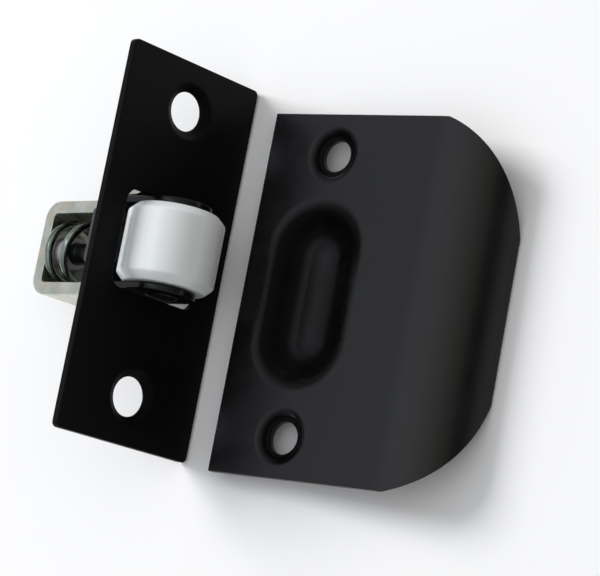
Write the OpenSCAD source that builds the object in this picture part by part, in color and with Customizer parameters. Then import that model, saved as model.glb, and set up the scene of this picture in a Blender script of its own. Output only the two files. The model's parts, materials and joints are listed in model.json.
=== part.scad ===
// Roller catch: a sprung roller latch and its full-lip strike plate, lying as a pair.
// The latch leans back on its spring case, and the strike lies on its recess and its lip.
// Latch axes: u across the plate (X), t along the plate (Y), n out of its face (Z).
// Strike axes: x from its straight edge to its lip, y along it, z out of its face.

/* [Faceplate] */
// Width of the faceplate
plate_w = 25.4; // [24:0.1:30]
// Length of the faceplate
plate_l = 57.15; // [52:0.05:70]
// Thickness of the faceplate
plate_th = 1.2; // [0.9:0.1:1.6]
// Corner radius of the faceplate
plate_corner_r = 0.8; // [0.3:0.1:2]
// Distance between the two screw holes
plate_hole_pitch = 42.9; // [42:0.1:48]
// Diameter of a screw hole
plate_hole_d = 5.8; // [4:0.1:6.2]
// Diameter of the countersink at the face
plate_sink_d = 8.8; // [7:0.1:10]
// Depth of the countersink
plate_sink_depth = 0.85; // [0.4:0.05:0.85]
// Corner radius of the roller's opening
opening_corner_r = 2.0; // [0.4:0.1:2.2]

/* [Roller] */
// Diameter of the roller
roller_d = 14.3; // [12:0.1:15]
// Length of the roller
roller_l = 11.6; // [9:0.1:12.4]
// Chamfer at each end of the roller
roller_chamfer = 1.2; // [0.4:0.1:2]
// Height of the roller's axis above the plate's face
roller_rise = 1.9; // [1:0.1:3]
// Diameter of the roller's pin
pin_d = 3.2; // [2.4:0.1:4]
// Diameter of the pin's riveted heads
pin_head_d = 4.8; // [4.2:0.1:6]
// Height of a riveted head
pin_head_h = 0.2; // [0.15:0.05:0.5]

/* [Yoke] */
// Sheet thickness of the yoke
yoke_th = 1.0; // [0.8:0.1:1.2]
// Width of the yoke's arms, also the diameter of their round ends
yoke_arm_w = 9.6; // [7:0.1:10.4]
// Inner bend radius of the yoke
yoke_bend_r = 0.5; // [0.2:0.1:0.8]
// Width across the stop wings
wing_span = 17.6; // [14:0.1:20]
// Width of a stop wing
wing_w = 8.1; // [6:0.1:8.6]
// How far the yoke sits to one side of the plate's middle
yoke_set = 0.4; // [0:0.1:0.6]
// How far the yoke can be pushed in
travel = 3.0; // [1.5:0.1:3.2]

/* [Spring case] */
// Width of the case's strip
case_w = 7.8; // [6.8:0.1:10]
// Sheet thickness of the case
case_th = 1.9; // [1.4:0.1:2]
// Gap between the case's legs round the spring
case_gap = 10.6; // [10.5:0.1:12]
// Depth of the case behind the plate's face
case_depth = 23.1; // [21:0.1:26]
// Angle by which the legs turn out to make room for the yoke
case_jog = 60; // [45:1:70]
// Inner bend radius of the case
case_bend_r = 0.8; // [0.5:0.1:0.9]
// Flat length of a foot on the plate's back
foot_l = 3.6; // [2:0.1:4]
// How far the case and its stem sit to the other side of the plate's middle
case_set = 0.2; // [0:0.1:0.6]

/* [Stem and spring] */
// Diameter of the guide stem
stem_d = 3.2; // [2.6:0.1:3.8]
// Diameter of the stem's shoulder behind the yoke
stem_shoulder_d = 5.0; // [4.4:0.1:6]
// Length of the shoulder
stem_shoulder_l = 0.8; // [0.4:0.1:1.5]
// Length of stem behind the clip
stem_tail = 1.0; // [0.6:0.1:2]
// Wall of the guide bush
bush_wall = 0.75; // [0.5:0.05:1]
// Length of bush that stands in the spring
bush_nose = 2.4; // [1:0.1:4]
// Diameter of the bush's flange
bush_flange_d = 6.4; // [5.6:0.1:6.6]
// Thickness of the bush's flange
bush_flange_th = 0.7; // [0.4:0.1:1]
// Outer diameter of the stem clip
clip_d = 5.6; // [5:0.1:6]
// Thickness of the stem clip
clip_th = 0.6; // [0.4:0.1:0.8]
// Depth of the clip's groove in the stem
clip_groove = 0.4; // [0.25:0.05:0.6]
// Wire diameter of the spring
wire_d = 1.3; // [0.8:0.1:1.4]
// Outer diameter of the spring
spring_d = 10.2; // [9:0.1:10.3]
// Turns of the spring
spring_turns = 3.2; // [3:0.1:4]
// Where round the stem the spring's wire starts, in degrees
spring_start = 265; // [0:5:355]

/* [Strike plate] */
// Length of the strike
strike_l = 54.3; // [50:0.1:64]
// Flat width, from the straight edge to the lip's bend
strike_flat = 28.4; // [26:0.1:36]
// Sheet thickness of the strike
strike_th = 1.2; // [0.9:0.1:1.4]
// Outer radius of the lip, a quarter round
lip_r = 10.5; // [8:0.1:12]
// Straight length of the lip's end between its round corners
lip_end_l = 24; // [18:0.5:30]
// Radius of the round corners, seen square to the lip
corner_r = 23.6; // [20:0.1:28]
// How far past the start of the bend the round corners begin
corner_start = 1.8; // [0:0.1:3]
// Distance of the recess and holes from the straight edge
strike_axis = 11.4; // [11:0.1:15]
// Length of the recess at its rim
recess_l = 29.6; // [24:0.1:31]
// Width of the recess at its rim
recess_w = 17.0; // [16:0.1:18]
// Depth of the recess
recess_depth = 3.2; // [2:0.1:4]
// Rounding of the recess at its rim and at its floor
recess_round = 4.0; // [3:0.1:4.2]
// Distance between the strike's screw holes
strike_hole_pitch = 42.1; // [40:0.1:44]
// Diameter of a screw hole in the strike
strike_hole_d = 4.8; // [4:0.1:5]
// Diameter of the dimple around a screw hole
dimple_d = 8.8; // [8.4:0.1:10]
// Depth of the dimple
dimple_depth = 1.0; // [0.6:0.1:1]
// Gap between the faceplate's lower edge and the strike
pair_gap = 4.6; // [2:0.1:12]
// How far the strike lies towards one end of the faceplate
strike_shift = 2.2; // [0:0.1:6]

/* [Hidden] */

// Clearances
run_clear = 0.06;
seat_clear = 0.02;
end_clear = 0.1;
yoke_clear = 0.25;
roller_back_clear = 0.2;
spring_clear = 0.1;
clip_clear = 0.05;
opening_side_clear = 1.15;
opening_end_clear = 0.15;
over = 1;
$fn = 96;

// Yoke and roller, measured in the latch's axes
arm_in = roller_l / 2 + end_clear;
arm_out = arm_in + yoke_th;
web_front = roller_rise - roller_d / 2 - roller_back_clear;
web_back = web_front - yoke_th;
yoke_bend_out = yoke_bend_r + yoke_th;
head_out = arm_out + pin_head_h;
opening_w = roller_d + 2 * opening_side_clear;
opening_l = 2 * (head_out + opening_end_clear);

// Case: straight legs round the spring, which turn out and forward again to let the pushed-in yoke
// pass between them, and end in feet
case_bend_out = case_bend_r + case_th;
leg_gap = head_out + yoke_set + case_set + yoke_clear;
yoke_reach = travel - web_back - yoke_bend_out / 2;
jog_l = (leg_gap - case_gap / 2 - (case_bend_r + case_bend_out) * (1 - cos(case_jog))) / sin(case_jog);
jog_rise = (case_bend_r + case_bend_out) * sin(case_jog) + jog_l * cos(case_jog);
wall_half = case_gap / 2 - case_bend_r;
leg_l = case_depth - case_bend_out - jog_rise - yoke_reach;
shank_l = yoke_reach - plate_th - case_bend_out;
wall_in = case_th - case_depth;

// Stem, bush and clip
bush_r = stem_d / 2 + run_clear + bush_wall;
flange_back = -case_depth - bush_flange_th;
clip_front = flange_back - clip_clear;
clip_back = clip_front - clip_th;
stem_end = clip_back - stem_tail;

// Spring
spring_r = (spring_d - wire_d) / 2;
spring_back = wall_in + spring_clear + wire_d / 2;
spring_front = web_back - spring_clear - wire_d / 2;
spring_closing = 0.7;
wire_sides = 10;
turn_steps = 24;

// Bends of the dimples: inside the sheet at the rim, and at the floor
dimple_rim_r = 0.4;
dimple_floor_r = 0.5;

// Straight steps in which a bend or a pressed edge is drawn
arc_steps = 10;

// Resting angles: the latch on its plate's lower edge and its case, the strike on its recess and lip
lean = atan((plate_w / 2 - case_w / 2) / (case_depth - plate_th));
recess_floor = recess_w / 2 - pan_run(recess_round, recess_round, recess_depth);
recess_sole_r = recess_round + strike_th;
sole_x = strike_axis - recess_floor;
sole_z = recess_round - recess_depth;
rest_run = strike_flat + lip_r - strike_th - sole_x;
rest_drop = lip_r + sole_z;
tilt = acos(recess_sole_r / norm([rest_run, rest_drop])) - atan2(rest_run, rest_drop);

// Places of the two halves: the pair is centred on the origin and stands on Z = 0
latch_z = plate_w / 2 * cos(lean) + plate_th * sin(lean);
plate_foot_x = plate_w / 2 * sin(lean);
strike_z = recess_sole_r - sole_x * sin(tilt) - sole_z * cos(tilt);
strike_dx = plate_foot_x + pair_gap;
pair_low_x = stem_end * cos(lean) - stem_d / 2 * sin(lean);
pair_high_x = strike_dx + (strike_flat + lip_r) * cos(tilt) + lip_r * sin(tilt);
latch_x = -(pair_low_x + pair_high_x) / 2;
strike_x = latch_x + strike_dx;
pair_low_y = min(-plate_l / 2, -strike_shift - strike_l / 2);
pair_high_y = max(plate_l / 2, -strike_shift + strike_l / 2);
latch_y = -(pair_low_y + pair_high_y) / 2;
strike_y = latch_y - strike_shift;

// Sideways run of a pressed wall that turns down round one radius and flat again round another
function pan_turn(rim_r, floor_r, depth) = acos(1 - depth / (rim_r + floor_r));
function pan_run(rim_r, floor_r, depth) = (rim_r + floor_r) * sin(pan_turn(rim_r, floor_r, depth));

// Height of the spring's wire after a share of its turns: the end turns lie closer than the middle ones
function coil_rise(share) = share - spring_closing * sin(360 * share) / (2 * PI);

module place_latch() {
  translate([latch_x, latch_y, latch_z]) rotate([0, 90 - lean, 0]) children();
}

module place_yoke() {
  place_latch() translate([0, yoke_set, 0]) children();
}

module place_case() {
  place_latch() translate([0, -case_set, 0]) children();
}

module place_strike() {
  translate([strike_x, strike_y, strike_z]) rotate([0, -tilt, 0]) children();
}

// Rectangle with round corners
module round_rect(w, l, r) {
  square([w - 2 * r, l], center = true);
  square([w, l - 2 * r], center = true);
  for (x = [-1, 1], y = [-1, 1])
    translate([x * (w / 2 - r), y * (l / 2 - r)]) circle(r);
}

// Edge of a strip of sheet that is bent step by step, as points: each step is
// [straight length, turn, up or not]. The strip starts at the origin along +X, with its sheet above
// the line that is followed; lift is 0 for the lower edge and th for the upper one.
function strip_edge(steps, th, r, lift, i = 0, at = [0, 0], dir = 0) =
  i == len(steps) ? [] :
  let (turn = steps[i][1],
       side = steps[i][2] ? 1 : -1,
       normal = [-sin(dir), cos(dir)],
       stop = at + steps[i][0] * [cos(dir), sin(dir)],
       centre = stop + (side > 0 ? th + r : -r) * normal,
       base_r = side > 0 ? th + r : r,
       edge_r = base_r - side * lift,
       bend = turn == 0 ? [stop + lift * normal] :
         [for (k = [0:arc_steps]) let (a = dir + side * turn * k / arc_steps)
           centre + side * edge_r * [sin(a), -cos(a)]],
       next_dir = dir + side * turn,
       next_at = centre + side * base_r * [sin(next_dir), -cos(next_dir)])
  concat(bend, strip_edge(steps, th, r, lift, i + 1, next_at, next_dir));

function mirrored(points) = [for (k = [len(points) - 1:-1:0]) [-points[k][0], points[k][1]]];
function reversed(points) = [for (k = [len(points) - 1:-1:0]) points[k]];

// The same bends to both sides of the middle, drawn out to the strip's width across the plate
module bent_strip(steps, w, th, r) {
  lower = strip_edge(steps, th, r, 0);
  upper = strip_edge(steps, th, r, th);
  rotate([90, 0, 90]) linear_extrude(w, center = true)
    polygon(concat(mirrored(lower), lower, reversed(upper), reversed(mirrored(upper))));
}

module faceplate() {
  color("#161618") place_latch() difference() {
    translate([0, 0, -plate_th]) linear_extrude(plate_th) difference() {
      round_rect(plate_w, plate_l, plate_corner_r);
      translate([0, yoke_set]) round_rect(opening_w, opening_l, opening_corner_r);
    }
    for (side = [-1, 1]) translate([0, side * plate_hole_pitch / 2, 0]) {
      translate([0, 0, -plate_th - over]) cylinder(h = plate_th + over, d = plate_hole_d);
      translate([0, 0, -plate_sink_depth])
        cylinder(h = plate_sink_depth, d1 = plate_hole_d, d2 = plate_sink_d);
    }
  }
}

module case() {
  steps = [[wall_half, 90, true],
           [leg_l, case_jog, false],
           [jog_l, case_jog, true],
           [shank_l, 90, false],
           [foot_l, 0, true]];
  color("#b9bcb6") place_case() difference() {
    translate([0, 0, -case_depth]) bent_strip(steps, case_w, case_th, case_bend_r);
    translate([0, 0, -case_depth - over])
      cylinder(h = case_th + 2 * over, r = bush_r + seat_clear);
  }
}

module guide_bush() {
  color("#b4b0b8") place_case() difference() {
    union() {
      translate([0, 0, flange_back]) cylinder(h = bush_flange_th, d = bush_flange_d);
      translate([0, 0, flange_back])
        cylinder(h = bush_flange_th + case_th + bush_nose, r = bush_r);
    }
    translate([0, 0, flange_back - over])
      cylinder(h = bush_flange_th + case_th + bush_nose + 2 * over, d = stem_d + 2 * run_clear);
  }
}

// Fork of bent sheet: two arms with round ends, and a web with two wings
module yoke() {
  arm_l = roller_rise + yoke_arm_w / 2 - web_back;
  steps = [[arm_out - yoke_bend_out, 90, true], [arm_l - yoke_bend_out, 0, true]];
  color("#1d1d20") difference() {
    place_yoke() {
      intersection() {
        translate([0, 0, web_back]) bent_strip(steps, yoke_arm_w, yoke_th, yoke_bend_r);
        rotate([90, 0, 0]) linear_extrude(2 * arm_out + over, center = true) {
          translate([0, roller_rise]) circle(d = yoke_arm_w);
          translate([-yoke_arm_w / 2, web_back - over])
            square([yoke_arm_w, roller_rise - web_back + over]);
        }
      }
      translate([0, 0, web_back]) linear_extrude(yoke_th) round_rect(wing_span, wing_w, yoke_th / 2);
    }
    place_yoke() translate([0, 0, roller_rise]) rotate([90, 0, 0])
      cylinder(h = 2 * arm_out + over, d = pin_d + 2 * seat_clear, center = true);
    place_case() translate([0, 0, web_back - over])
      cylinder(h = yoke_th + 2 * over, d = stem_d + 2 * seat_clear);
  }
}

module guide_stem() {
  color("#1a1a1c") place_case() difference() {
    union() {
      translate([0, 0, stem_end]) cylinder(h = web_front - stem_end, d = stem_d);
      translate([0, 0, web_back - stem_shoulder_l])
        cylinder(h = stem_shoulder_l, d = stem_shoulder_d);
    }
    translate([0, 0, clip_back - seat_clear]) difference() {
      cylinder(h = clip_th + 2 * seat_clear, d = stem_d + over);
      cylinder(h = clip_th + 2 * seat_clear, d = stem_d - 2 * clip_groove);
    }
  }
}

// Open ring that snaps into the stem's groove
module stem_clip() {
  mouth = stem_d - 2 * clip_groove;
  color("#6b6b6e") place_case() translate([0, 0, clip_back]) difference() {
    cylinder(h = clip_th, d = clip_d);
    translate([0, 0, -over]) cylinder(h = clip_th + 2 * over, d = mouth + 2 * seat_clear);
    translate([0, -mouth / 2, -over]) cube([clip_d, mouth, clip_th + 2 * over]);
  }
}

// Round wire swept along the left-hand coil, with flat ends
module spring() {
  rings = ceil(spring_turns * turn_steps);
  lead = (spring_front - spring_back) / (2 * PI * spring_r * spring_turns);
  slope = atan(lead);
  points = [for (i = [0:rings], k = [0:wire_sides - 1])
    let (share = i / rings,
         turn = spring_start - 360 * spring_turns * share,
         across = wire_d / 2 * cos(360 * k / wire_sides),
         along = wire_d / 2 * sin(360 * k / wire_sides),
         r = spring_r + across)
    [r * cos(turn) - along * sin(slope) * sin(turn),
     r * sin(turn) + along * sin(slope) * cos(turn),
     spring_back + (spring_front - spring_back) * coil_rise(share) + along * cos(slope)]];
  walls = [for (i = [0:rings - 1], k = [0:wire_sides - 1])
    let (a = i * wire_sides, b = a + wire_sides, next = (k + 1) % wire_sides)
    [a + k, a + next, b + next, b + k]];
  first = [for (k = [wire_sides - 1:-1:0]) k];
  last = [for (k = [0:wire_sides - 1]) rings * wire_sides + k];
  color("#8b908c") place_case() polyhedron(points, concat(walls, [first, last]));
}

module roller_pin() {
  color("#17171a") place_yoke() translate([0, 0, roller_rise]) rotate([90, 0, 0]) {
    cylinder(h = 2 * arm_out, d = pin_d, center = true);
    for (side = [0, 180]) rotate([side, 0, 0]) translate([0, 0, arm_out])
      cylinder(h = pin_head_h, d1 = pin_head_d, d2 = pin_head_d - 2 * pin_head_h);
  }
}

module roller() {
  half = roller_l / 2;
  r = roller_d / 2;
  bore = pin_d / 2 + run_clear;
  color("#d9dcdb") place_yoke() translate([0, 0, roller_rise]) rotate([90, 0, 0])
    rotate_extrude() polygon([[bore, -half], [r - roller_chamfer, -half],
      [r, roller_chamfer - half], [r, half - roller_chamfer], [r - roller_chamfer, half],
      [bore, half]]);
}

// Half section of a pressed pan, from its middle out to its rim; sheet is 0 for the inside
// and the sheet's thickness for the outside
module pan_section(half_w, depth, rim_r, floor_r, sheet) {
  turn = pan_turn(rim_r, floor_r, depth);
  floor_half = half_w - pan_run(rim_r, floor_r, depth);
  lid = sheet == 0 ? over : 0;
  rim = [for (k = [0:arc_steps]) let (a = turn * k / arc_steps)
    [half_w - (rim_r - sheet) * sin(a), (rim_r - sheet) * cos(a) - rim_r]];
  floor_bend = [for (k = [arc_steps - 1:-1:0]) let (a = turn * k / arc_steps)
    [floor_half + (floor_r + sheet) * sin(a), floor_r - depth - (floor_r + sheet) * cos(a)]];
  polygon(concat([[0, lid], [half_w, lid]], rim, floor_bend, [[0, -depth - sheet]]));
}

// Pressed pan: the section turned round both ends and drawn out between them
module pan(half_w, length, depth, rim_r, floor_r, sheet) {
  straight = length - 2 * half_w;
  for (side = [0, 180]) rotate([0, 0, side]) translate([0, straight / 2, 0])
    rotate_extrude(angle = 180) pan_section(half_w, depth, rim_r, floor_r, sheet);
  if (straight > 0)
    rotate([90, 0, 0]) linear_extrude(straight, center = true) for (side = [0, 1])
      mirror([side, 0, 0]) pan_section(half_w, depth, rim_r, floor_r, sheet);
}

module strike_pans(sheet) {
  translate([strike_axis, 0, 0])
    pan(recess_w / 2, recess_l, recess_depth, recess_round, recess_round, sheet);
  for (side = [-1, 1]) translate([strike_axis, side * strike_hole_pitch / 2, 0])
    pan(dimple_d / 2, dimple_d, dimple_depth, strike_th + dimple_rim_r, dimple_floor_r, sheet);
}

// What is cut away outside one round corner, seen square to the middle of the lip
module corner_waste() {
  half = strike_l / 2;
  far = lip_r * sqrt(2);
  near = corner_start / sqrt(2);
  start = [near, half];
  end = [far, lip_end_l / 2];
  chord = end - start;
  inset = sqrt(pow(corner_r, 2) - pow(norm(chord) / 2, 2));
  centre = (start + end) / 2 + inset * [chord[1], -chord[0]] / norm(chord);
  difference() {
    translate([near, end[1]]) square([far - near + over, half - end[1] + over]);
    translate(centre) circle(corner_r);
  }
}

// Flat sheet with a quarter-round lip rolled down at its far side
module lipped_sheet() {
  rotate([90, 0, 0]) linear_extrude(strike_l, center = true) {
    translate([0, -strike_th]) square([strike_flat, strike_th]);
    translate([strike_flat, -lip_r]) intersection() {
      difference() {
        circle(lip_r);
        circle(lip_r - strike_th);
      }
      square(lip_r);
    }
  }
}

module strike_plate() {
  color("#2a2a2e") place_strike() difference() {
    union() {
      lipped_sheet();
      strike_pans(strike_th);
    }
    strike_pans(0);
    for (side = [-1, 1])
      translate([strike_axis, side * strike_hole_pitch / 2, -recess_depth - over])
        cylinder(h = recess_depth + 2 * over, d = strike_hole_d);
    for (side = [0, 1]) mirror([0, side, 0])
      translate([strike_flat, 0, 0]) rotate([0, 45, 0])
        linear_extrude(2 * (strike_flat + lip_r), center = true) corner_waste();
  }
}

faceplate();
case();
guide_bush();
yoke();
guide_stem();
stem_clip();
spring();
roller_pin();
roller();
strike_plate();
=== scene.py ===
import json
import math

import bmesh
import bpy
from mathutils import Matrix, Vector


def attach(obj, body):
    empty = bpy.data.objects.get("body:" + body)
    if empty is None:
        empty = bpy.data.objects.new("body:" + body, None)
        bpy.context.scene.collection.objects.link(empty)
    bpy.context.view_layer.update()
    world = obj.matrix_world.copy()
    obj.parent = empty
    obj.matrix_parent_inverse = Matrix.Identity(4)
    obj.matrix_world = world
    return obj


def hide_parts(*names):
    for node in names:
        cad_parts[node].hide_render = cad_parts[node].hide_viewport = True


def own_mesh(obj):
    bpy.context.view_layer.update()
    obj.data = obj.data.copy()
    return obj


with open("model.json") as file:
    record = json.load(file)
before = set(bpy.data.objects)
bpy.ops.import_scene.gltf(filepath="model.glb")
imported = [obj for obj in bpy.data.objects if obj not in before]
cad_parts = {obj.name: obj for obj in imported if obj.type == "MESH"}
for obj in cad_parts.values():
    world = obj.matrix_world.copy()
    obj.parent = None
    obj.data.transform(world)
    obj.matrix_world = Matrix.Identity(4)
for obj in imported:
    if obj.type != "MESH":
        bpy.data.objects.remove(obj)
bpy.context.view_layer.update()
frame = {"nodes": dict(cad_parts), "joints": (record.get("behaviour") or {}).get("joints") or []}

# Sizes of the pieces and of their finishes are written in millimetres. The floor's size, the lamps and the
# camera's place are in metres
MM = 0.001

scene = bpy.context.scene
scene.view_settings.view_transform = "Standard"

# The latch's own frame: slide runs along the fork's travel, across along the roller's axis,
# down along the faceplate's short side
joints = {j["name"]: j for j in frame["joints"]}
slide = Vector(joints["fork_slide"]["axis"]).normalized()
across = Vector((0, 1, 0))
down = across.cross(slide)
roller_centre = Vector(joints["roller_spin"]["pos_m"])


def span(node, axis):
    """How far a CAD node reaches along an axis: its lowest and highest value."""
    reach = [v.co.dot(axis) for v in frame["nodes"][node].data.vertices]
    return min(reach), max(reach)


def middle(node, axis):
    """The middle of a CAD node along an axis."""
    return sum(span(node, axis)) / 2


# Materials

# The two colour sockets of a Mix node
MIX_A, MIX_B = 6, 7


def linear(hex_colour):
    """A colour written as sRGB hex, as the linear values a shader takes."""
    out = []
    for i in (1, 3, 5):
        c = int(hex_colour[i:i + 2], 16) / 255
        out.append(c / 12.92 if c <= 0.04045 else ((c + 0.055) / 1.055) ** 2.4)
    return (*out, 1.0)


def join(tree, node, inputs):
    """Sets a node's inputs to values, or links them to a socket or to another node's first live output."""
    for key, value in inputs.items():
        if isinstance(value, bpy.types.Node):
            value = next(s for s in value.outputs if s.enabled)
        if isinstance(value, bpy.types.NodeSocket):
            tree.links.new(value, node.inputs[key])
        else:
            node.inputs[key].default_value = value


def add(tree, kind, inputs, **settings):
    """Adds one shader node with its settings and links."""
    node = tree.nodes.new("ShaderNode" + kind)
    for key, value in settings.items():
        setattr(node, key, value)
    join(tree, node, inputs)
    return node


def new_material(name):
    """An empty material, its tree, its surface shader and its object coordinates."""
    material = bpy.data.materials.new(name)
    material.use_nodes = True
    tree = material.node_tree
    tree.nodes.clear()
    shader = add(tree, "BsdfPrincipled", {})
    add(tree, "OutputMaterial", {"Surface": shader})
    coords = add(tree, "TexCoord", {}).outputs["Object"]
    return material, tree, shader, coords


def grained(name, grain_mm, depth_mm, detail=2.0):
    """A new material with a fine grain in its skin. The grain is drawn as coarse as it needs to show."""
    material, tree, shader, coords = new_material(name)
    grain = add(tree, "TexNoise", {"Vector": coords, "Scale": 1 / (grain_mm * MM), "Detail": detail})
    relief = add(tree, "Bump", {"Height": grain, "Distance": depth_mm * MM})
    join(tree, shader, {"Normal": relief})
    return material, tree, shader, coords


CLOUD = 6.0


def black_enamel(name, colour, pale, rough, sheen, grain_mm, depth_mm):
    """Baked black enamel on steel: near black, with a fine stippled skin and a slightly uneven gloss."""
    material, tree, shader, coords = grained(name, grain_mm, depth_mm, detail=1.0)
    cloud = add(tree, "TexNoise", {"Vector": coords, "Scale": 1 / (CLOUD * MM), "Detail": 3.0})
    share = add(tree, "MapRange", {"Value": cloud, "From Min": 0.35, "From Max": 0.7})
    tint = add(tree, "Mix", {"Factor": share, MIX_A: linear(colour), MIX_B: linear(pale)}, data_type="RGBA")
    gloss = add(tree, "MapRange", {"Value": cloud, "From Min": 0.3, "From Max": 0.7,
                                   "To Min": rough - 0.04, "To Max": rough + 0.05})
    join(tree, shader, {"Base Color": tint, "Roughness": gloss, "Specular IOR Level": sheen})
    return material, tree, shader, coords


# Faceplate: enamel that reflects little of the room
plate_black = black_enamel("baked_satin_black_enamel", "#080808", "#0a0a09", rough=0.42, sheen=0.07,
                           grain_mm=0.35, depth_mm=0.004)[0]

# Strike: enamel on pressed steel, with a smoother skin and more sheen than the faceplate's
strike_black, tree, shader, coords = black_enamel("baked_matt_black_enamel", "#050506", "#070708", rough=0.27,
                                                  sheen=0.53, grain_mm=0.28, depth_mm=0.002)

# The strike's axis, measured from its straight edge, and the recess and screw holes that lie on it
STRIKE_AXIS, RECESS_L, RECESS_W, HOLE_PITCH = 11.4, 29.6, 17.0, 42.1
# Painted shade: its recess walls, screw dimples and lip end take a darker specular tint than its flats. This
# darkens their reflections, standing in for the darker surroundings and shadowed floor they would face; its
# strength is matched. Each shaded part fades between two distances, from the recess's middle line, a hole's
# centre or the straight edge. In the recess the painted shade lies a little nearer to the straight edge
RECESS_FADE_IN, RECESS_FADE_OUT = (0.4, 3.4), (6.3, 8.0)
DIMPLE_FADE, LIP_FADE = (3.1, 4.4), (36.6, 38.0)
SHADE_SHIFT, LIP_SHADE = 0.5, 0.9
upward = [f for f in frame["nodes"]["strike_plate"].data.polygons if f.normal.z > 0.5]
strike_side = across.cross(max(upward, key=lambda f: f.area).normal)


def strike_painted_shade(tree, coords):
    """How much painted shade darkens the strike's reflections: 0 on its flats, 1 on its recess walls and
    dimples.
    """
    straight_edge = span("strike_plate", strike_side)[0]
    sideways = add(tree, "VectorMath", {0: coords, 1: strike_side}, operation="DOT_PRODUCT")
    lengthways = add(tree, "VectorMath", {0: coords, 1: across}, operation="DOT_PRODUCT")
    from_edge = add(tree, "Math", {0: sideways, 1: straight_edge}, operation="SUBTRACT")
    off_middle = add(tree, "Math", {0: lengthways, 1: middle("strike_plate", across)}, operation="SUBTRACT")
    along = add(tree, "Math", {0: off_middle}, operation="ABSOLUTE")
    past_sides = add(tree, "Math", {0: along, 1: (RECESS_L - RECESS_W) / 2 * MM}, operation="SUBTRACT")
    round_end = add(tree, "Math", {0: past_sides, 1: 0.0}, operation="MAXIMUM")
    recess_spot = add(tree, "CombineXYZ", {"X": from_edge, "Y": round_end})
    hole_spot = add(tree, "CombineXYZ", {"X": from_edge, "Y": along})
    recess_line = ((STRIKE_AXIS - SHADE_SHIFT) * MM, 0, 0)
    hole_centre = (STRIKE_AXIS * MM, HOLE_PITCH / 2 * MM, 0)
    from_recess = add(tree, "VectorMath", {0: recess_spot, 1: recess_line}, operation="DISTANCE")
    from_hole = add(tree, "VectorMath", {0: hole_spot, 1: hole_centre}, operation="DISTANCE")
    fades = []
    for value, (start, end), first, last in ((from_recess, RECESS_FADE_IN, 0.0, 1.0),
                                             (from_recess, RECESS_FADE_OUT, 1.0, 0.0),
                                             (from_hole, DIMPLE_FADE, 1.0, 0.0),
                                             (from_edge, LIP_FADE, 0.0, LIP_SHADE)):
        fades.append(add(tree, "MapRange", {"Value": value, "From Min": start * MM, "From Max": end * MM,
                                            "To Min": first, "To Max": last}))
    inner, outer, dimples, lip_end = fades
    recess_wall = add(tree, "Math", {0: inner, 1: outer}, operation="MULTIPLY")
    hollow_shade = add(tree, "Math", {0: recess_wall, 1: dimples}, operation="MAXIMUM")
    return add(tree, "Math", {0: hollow_shade, 1: lip_end}, operation="MAXIMUM")


# Painted shade: a grey specular tint darkens the strike's reflections on its recess walls, dimples and lip
# end
painted_shade_tint = add(tree, "Mix", {"Factor": strike_painted_shade(tree, coords), MIX_A: linear("#ffffff"),
                           MIX_B: linear("#585858")}, data_type="RGBA")
join(tree, shader, {"Specular Tint": painted_shade_tint})

# Fork, stem and pin: electrocoat, a thin glossy black that runs smooth over the metal
fork_black, tree, shader, _ = grained("glossy_black_electrocoat", 0.8, 0.004)
join(tree, shader, {"Base Color": linear("#0a0a0b"), "Roughness": 0.2, "Specular IOR Level": 0.26})

# Outer faces of the fork's arms: the same coat without its gloss
fork_dull, tree, shader, _ = grained("dulled_black_electrocoat", 0.5, 0.004)
join(tree, shader, {"Base Color": linear("#08080a"), "Roughness": 0.6, "Specular IOR Level": 0.04})

# Stop wings of the fork: dark burnished steel with an uneven gloss
RUBBED = 0.6
burnished, tree, shader, coords = grained("burnished_steel", 0.4, 0.003)
rubbing = add(tree, "TexNoise", {"Vector": coords, "Scale": 1 / (RUBBED * MM)})
gloss = add(tree, "MapRange", {"Value": rubbing, "From Min": 0.3, "From Max": 0.7,
                               "To Min": 0.36, "To Max": 0.5})
join(tree, shader, {"Base Color": linear("#5c5a5e"), "Metallic": 0.9, "Roughness": gloss})

# Case: bright zinc plate, faintly green and straw in patches from its passivate
GREEN_PATCH, STRAW_PATCH, GLOSS_PATCH = 3.2, 1.9, 0.9
zinc, tree, shader, coords = grained("zinc_plate_passivated", 0.5, 0.004)
patches = add(tree, "TexNoise", {"Vector": coords, "Scale": 1 / (GREEN_PATCH * MM), "Detail": 3.0})
share = add(tree, "MapRange", {"Value": patches, "From Min": 0.4, "From Max": 0.62})
green = add(tree, "Mix", {"Factor": share, MIX_A: linear("#d0d1c8"), MIX_B: linear("#b9c0b2")},
            data_type="RGBA")
patches = add(tree, "TexNoise", {"Vector": coords, "Scale": 1 / (STRAW_PATCH * MM), "Detail": 3.0})
share = add(tree, "MapRange", {"Value": patches, "From Min": 0.46, "From Max": 0.68, "To Max": 0.9})
straw = add(tree, "Mix", {"Factor": share, MIX_A: green, MIX_B: linear("#cfbfa8")}, data_type="RGBA")
patches = add(tree, "TexNoise", {"Vector": coords, "Scale": 1 / (GLOSS_PATCH * MM)})
gloss = add(tree, "MapRange", {"Value": patches, "From Min": 0.3, "From Max": 0.7,
                               "To Min": 0.24, "To Max": 0.4})
join(tree, shader, {"Base Color": straw, "Metallic": 1.0, "Roughness": gloss})

# Bush: moulded grey acetal, smooth with a soft gloss
bush_grey, tree, shader, _ = grained("moulded_grey_acetal", 0.3, 0.003)
join(tree, shader, {"Base Color": linear("#b4b0b8"), "Roughness": 0.3, "Specular IOR Level": 0.6})

# Clip: oiled spring steel, dark and half bright
clip_steel, tree, shader, _ = grained("oiled_spring_steel", 0.3, 0.003)
join(tree, shader, {"Base Color": linear("#6f6d68"), "Metallic": 1.0, "Roughness": 0.34})

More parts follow.
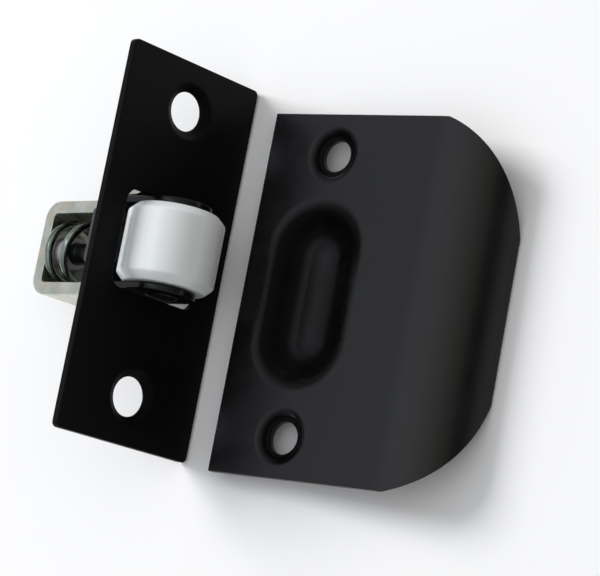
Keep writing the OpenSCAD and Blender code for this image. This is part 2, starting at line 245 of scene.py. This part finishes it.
# Spring: drawn wire under bright zinc, with sharp glints and slightly darker patches
WIRE_PATCH = 1.2
wire, tree, shader, coords = grained("zinc_plated_spring_wire", 0.25, 0.002, detail=1.0)
patches = add(tree, "TexNoise", {"Vector": coords, "Scale": 1 / (WIRE_PATCH * MM)})
share = add(tree, "MapRange", {"Value": patches, "From Min": 0.35, "From Max": 0.65})
plating = add(tree, "Mix", {"Factor": share, MIX_A: linear("#9ea79f"), MIX_B: linear("#7f8b82")},
              data_type="RGBA")
join(tree, shader, {"Base Color": plating, "Metallic": 1.0, "Roughness": 0.13})

# Roller: turned white nylon, slightly see-through, with a few grey specks and with tool rings round its axis,
# which are drawn as coarse as they need to show
TOOL_RING, RING_DEPTH, SPECK, LIGHT_REACH = 0.22, 0.0025, 0.45, 1.4
nylon, tree, shader, coords = new_material("turned_white_nylon")
along_roller = add(tree, "SeparateXYZ", {"Vector": coords}).outputs["Y"]
rings = add(tree, "TexNoise", {"W": along_roller, "Scale": 1 / (TOOL_RING * MM)}, noise_dimensions="1D")
share = add(tree, "MapRange", {"Value": rings, "From Min": 0.35, "From Max": 0.65})
skin = add(tree, "Mix", {"Factor": share, MIX_A: linear("#e0e4e3"), MIX_B: linear("#e4e7e6")},
           data_type="RGBA")
dust = add(tree, "TexNoise", {"Vector": coords, "Scale": 1 / (SPECK * MM), "Detail": 1.0})
specks = add(tree, "MapRange", {"Value": dust, "From Min": 0.79, "From Max": 0.82, "To Max": 0.6})
speckled = add(tree, "Mix", {"Factor": specks, MIX_A: skin, MIX_B: linear("#6b6a66")}, data_type="RGBA")
relief = add(tree, "Bump", {"Height": rings, "Distance": RING_DEPTH * MM})
join(tree, shader, {"Base Color": speckled, "Roughness": 0.22, "Specular IOR Level": 0.5, "Normal": relief,
                    "Subsurface Weight": 0.35, "Subsurface Radius": (0.9, 1.0, 1.0),
                    "Subsurface Scale": LIGHT_REACH * MM})

# Pieces

ROOT = "latch_and_strike"
# Edges that turn by more than SHARP_DEG are rounded; CAD points closer than WELD are merged, and faces that
# turn by less than FLAT_DEG are joined
SHARP_DEG, FLAT_DEG, WELD, EDGE_STEPS = 32, 0.3, 0.002, 3


def pick(obj):
    """Leaves only obj selected and active."""
    bpy.ops.object.select_all(action="DESELECT")
    obj.select_set(True)
    bpy.context.view_layer.objects.active = obj


def apply_modifiers(obj):
    """Applies every modifier of obj."""
    pick(obj)
    for name in [m.name for m in obj.modifiers]:
        bpy.ops.object.modifier_apply(modifier=name)


def soften(obj, edge_mm):
    """Rounds the sharp edges of a mesh, shades it smooth and keeps its flats flat."""
    edges = obj.modifiers.new("edges", "BEVEL")
    edges.width = edge_mm * MM
    edges.segments = EDGE_STEPS
    edges.limit_method = "ANGLE"
    edges.angle_limit = math.radians(SHARP_DEG)
    apply_modifiers(obj)
    bpy.ops.object.shade_smooth_by_angle(angle=math.radians(SHARP_DEG))
    flats = obj.modifiers.new("flats", "WEIGHTED_NORMAL")
    flats.keep_sharp = True
    apply_modifiers(obj)


def finished(obj, material, node, body):
    """Gives a piece its material, and its place on the frame."""
    obj.data.materials.clear()
    obj.data.materials.append(material)
    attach(obj, body)
    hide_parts(node)
    return obj


def from_cad(node, name, edge_mm):
    """A piece from a CAD node's own shape, joined up and with softened edges."""
    mesh = frame["nodes"][node].data.copy()
    mesh.name = name
    obj = bpy.data.objects.new(name, mesh)
    scene.collection.objects.link(obj)
    pick(obj)
    bpy.ops.object.mode_set(mode="EDIT")
    bpy.ops.mesh.select_all(action="SELECT")
    bpy.ops.mesh.customdata_custom_splitnormals_clear()
    bpy.ops.mesh.remove_doubles(threshold=WELD * MM)
    bpy.ops.mesh.dissolve_limited(angle_limit=math.radians(FLAT_DEG))
    bpy.ops.object.mode_set(mode="OBJECT")
    soften(obj, edge_mm)
    return obj


faceplate = from_cad("faceplate", "faceplate_enamelled", edge_mm=0.14)
finished(faceplate, plate_black, "faceplate", ROOT)
strike = from_cad("strike_plate", "strike_pressed", edge_mm=0.16)
finished(strike, strike_black, "strike_plate", ROOT)
case = from_cad("case", "case_bent", edge_mm=0.14)
finished(case, zinc, "case", ROOT)
bush = from_cad("guide_bush", "guide_bush_cast", edge_mm=0.12)
finished(bush, bush_grey, "guide_bush", ROOT)
fork = from_cad("yoke", "fork_pressed", edge_mm=0.14)
finished(fork, fork_black, "yoke", "fork")
stem = from_cad("guide_stem", "guide_stem_turned", edge_mm=0.1)
finished(stem, fork_black, "guide_stem", "fork")
clip = from_cad("stem_clip", "stem_clip_pressed", edge_mm=0.08)
finished(clip, clip_steel, "stem_clip", "fork")
pin = from_cad("roller_pin", "roller_pin_headed", edge_mm=0.12)
finished(pin, fork_black, "roller_pin", "fork")

# The fork's wings reach past its arms on both sides; its arms' outer faces look away from the roller
ARM_W, WING_START = 9.6, 0.15
ARM_INSIDE, FACING_OUT = 5.9, 0.9
WING_FINISH, ARM_FINISH = 1, 2
fork.data.materials.append(burnished)
fork.data.materials.append(fork_dull)
fork_middle = middle("yoke", down)
for face in fork.data.polygons:
    outwards = (face.center - roller_centre).dot(across) * face.normal.dot(across)
    if abs(face.center.dot(down) - fork_middle) > (ARM_W / 2 + WING_START) * MM:
        face.material_index = WING_FINISH
    elif outwards > ARM_INSIDE * FACING_OUT * MM:
        face.material_index = ARM_FINISH

# Roller: a bar turned to size, its ends chamfered, bored and softened
ROLLER_R, ROLLER_L, ROLLER_CHAMFER, BORE_R, ROLLER_SIDES = 7.15, 11.6, 1.2, 1.66, 160
bpy.ops.object.select_all(action="DESELECT")
bpy.ops.mesh.primitive_cylinder_add(vertices=ROLLER_SIDES, radius=ROLLER_R * MM, depth=ROLLER_L * MM,
                                    rotation=(math.pi / 2, 0, 0), location=roller_centre)
roller = bpy.context.object
roller.name = roller.data.name = "roller_turned"
bpy.ops.object.transform_apply(location=True, rotation=True, scale=True)


def pick_ends(obj):
    """Selects the two end faces of the roller, in edit mode."""
    bm = bmesh.from_edit_mesh(obj.data)
    for face in bm.faces:
        face.select_set(abs(face.normal.y) > 0.99)
    bmesh.update_edit_mesh(obj.data)


bpy.ops.object.mode_set(mode="EDIT")
bpy.ops.mesh.select_mode(type="FACE")
pick_ends(roller)
bpy.ops.mesh.bevel(offset=ROLLER_CHAMFER * MM, offset_type="OFFSET", segments=1, affect="EDGES")
pick_ends(roller)
bpy.ops.mesh.inset(thickness=(ROLLER_R - ROLLER_CHAMFER - BORE_R) * MM)
bpy.ops.mesh.bridge_edge_loops()
bpy.ops.object.mode_set(mode="OBJECT")
soften(roller, edge_mm=0.22)
finished(roller, nylon, "roller", "roller")

# Spring: a wire section swept round the stem to the left, with its end coils drawn together
WIRE_R, TURNS, START_DEG, CLOSING = 0.65 * MM, 3.2, 265, 0.7
SECTION, STEPS, WIRE_SHARP_DEG = 20, 220, 40
coil_back, coil_front = span("spring", slide)
coil_low, coil_high = span("spring", across)
coil_r = (coil_high - coil_low) / 2 - WIRE_R
coil_length = coil_front - coil_back - 2 * WIRE_R
bpy.ops.object.select_all(action="DESELECT")
bpy.ops.mesh.primitive_circle_add(vertices=SECTION, radius=WIRE_R, rotation=(math.pi / 2, 0, 0),
                                  location=(coil_r, 0, 0))
spring = bpy.context.object
spring.name = spring.data.name = "spring_coiled"
bpy.ops.object.transform_apply(location=True, rotation=True, scale=True)
coil = spring.modifiers.new("coil", "SCREW")
coil.axis = "Z"
coil.angle = -TURNS * 2 * math.pi
coil.screw_offset = coil_length
coil.steps = coil.render_steps = STEPS
coil.use_merge_vertices = False
apply_modifiers(spring)
for i, v in enumerate(spring.data.vertices):
    share = (i // SECTION) / STEPS
    v.co.z -= coil_length * CLOSING * math.sin(2 * math.pi * share) / (2 * math.pi)
bpy.ops.object.mode_set(mode="EDIT")
bpy.ops.mesh.select_mode(type="EDGE")
bpy.ops.mesh.select_all(action="DESELECT")
bpy.ops.mesh.select_non_manifold()
bpy.ops.mesh.fill_holes(sides=0)
bpy.ops.mesh.select_all(action="SELECT")
bpy.ops.mesh.normals_make_consistent(inside=False)
bpy.ops.object.mode_set(mode="OBJECT")
coil_axis = down * middle("guide_bush", down) + across * middle("guide_bush", across)
coil_start = coil_axis + slide * (coil_back + WIRE_R)
latch_axes = Matrix((down, across, slide)).transposed().to_4x4()
spring.data.transform(Matrix.Translation(coil_start) @ latch_axes
                      @ Matrix.Rotation(math.radians(START_DEG), 4, "Z"))
pick(spring)
bpy.ops.object.shade_smooth_by_angle(angle=math.radians(WIRE_SHARP_DEG))
finished(spring, wire, "spring", ROOT)
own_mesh(spring)

# Floor, light and camera

# Floor: plain white paper, a little uneven, a hair below the pieces
FLOOR_SIZE, FLOOR_DROP, PAPER_PATCH = 6, 0.02, 40.0
bpy.ops.object.select_all(action="DESELECT")
bpy.ops.mesh.primitive_plane_add(size=FLOOR_SIZE, location=(0, 0, -FLOOR_DROP * MM))
floor = bpy.context.object
floor.name = "floor"
paper, tree, shader, coords = new_material("white_paper")
patches = add(tree, "TexNoise", {"Vector": coords, "Scale": 1 / (PAPER_PATCH * MM)})
white = add(tree, "Mix", {"Factor": patches, MIX_A: linear("#f9f9f7"), MIX_B: linear("#fcfcfb")},
            data_type="RGBA")
join(tree, shader, {"Base Color": white, "Roughness": 0.9, "Specular IOR Level": 0.1})
floor.data.materials.append(paper)

# Room: a white tent, brightest overhead and dim low down, stronger and cooler on the left
TENT_STRENGTH, LOW_LEVEL, LEFT_GAIN = 0.92, 0.2, 1.28
# Its two bright walls, one far to the left and one all round just above the floor: the axis they are measured
# on, where they start to fade, where they end, and how bright they are
WALLS = (("X", -0.92, -0.72, 0.9), ("Z", 0.02, 0.08, 0.9))
world = bpy.data.worlds.new("studio")
scene.world = world
world.use_nodes = True
tree = world.node_tree
tree.nodes.clear()
ray = add(tree, "SeparateXYZ", {"Vector": add(tree, "TexCoord", {}).outputs["Generated"]}).outputs
height = add(tree, "Math", {0: ray["Z"], 1: ray["Z"]}, operation="MULTIPLY")
overhead = add(tree, "MapRange", {"Value": height, "To Min": LOW_LEVEL})
leftwards = add(tree, "MapRange", {"Value": ray["X"], "From Min": -0.7, "From Max": 0.0, "To Min": LEFT_GAIN})
level = add(tree, "Math", {0: overhead, 1: leftwards}, operation="MULTIPLY")
for axis, start, end, bright in WALLS:
    wall = add(tree, "MapRange", {"Value": ray[axis], "From Min": start, "From Max": end, "To Min": bright,
                                  "To Max": 0.0})
    level = add(tree, "Math", {0: level, 1: wall}, operation="MAXIMUM")
strength = add(tree, "Math", {0: level, 1: TENT_STRENGTH}, operation="MULTIPLY")
rightwards = add(tree, "MapRange", {"Value": ray["X"], "From Min": -0.3, "From Max": 0.8})
tint = add(tree, "Mix", {"Factor": rightwards, MIX_A: linear("#f3f6ff"), MIX_B: linear("#f4f1e9")},
           data_type="RGBA")
tent = add(tree, "Background", {"Color": tint, "Strength": strength})
add(tree, "OutputWorld", {"Surface": tent})


def area_light(name, place, size, watts, colour):
    """A soft lamp at place that faces the middle of the set."""
    bpy.ops.object.select_all(action="DESELECT")
    bpy.ops.object.light_add(type="AREA", location=place)
    lamp = bpy.context.object
    lamp.name = name
    lamp.rotation_euler = (-Vector(place)).to_track_quat("-Z", "Y").to_euler()
    lamp.data.shape = "RECTANGLE"
    lamp.data.size, lamp.data.size_y = size
    lamp.data.energy = watts
    lamp.data.color = linear(colour)[:3]
    return lamp


# Key lamp from the upper left, which throws the soft shadow. It is left out of reflections, which show
# the tent
key = area_light("softbox_left", place=(-1.05, 0.39, 0.94), size=(0.6, 0.6), watts=16.5, colour="#fdfdff")
key.visible_glossy = False
# Narrow lamp overhead, for the glint on the roller, spring, fork, case and pin only
strip = area_light("strip_overhead", place=(-0.17, 0.1, 0.6), size=(0.06, 0.4), watts=0.16, colour="#fbfcff")
glinting = bpy.data.collections.new("glinting_pieces")
for piece in (roller, spring, fork, case, pin):
    glinting.objects.link(piece)
strip.light_linking.receiver_collection = glinting

CAMERA_PLACE, CAMERA_TURN_DEG = (0.143467, -0.062252, 0.318632), (14.4888, 21.2481, 11.3975)
bpy.ops.object.select_all(action="DESELECT")
bpy.ops.object.camera_add(location=CAMERA_PLACE, rotation=[math.radians(a) for a in CAMERA_TURN_DEG])
camera = bpy.context.object
camera.name = "camera"
camera.data.sensor_width = 36
camera.data.lens = 144.4
camera.data.clip_start = 0.01
scene.camera = camera
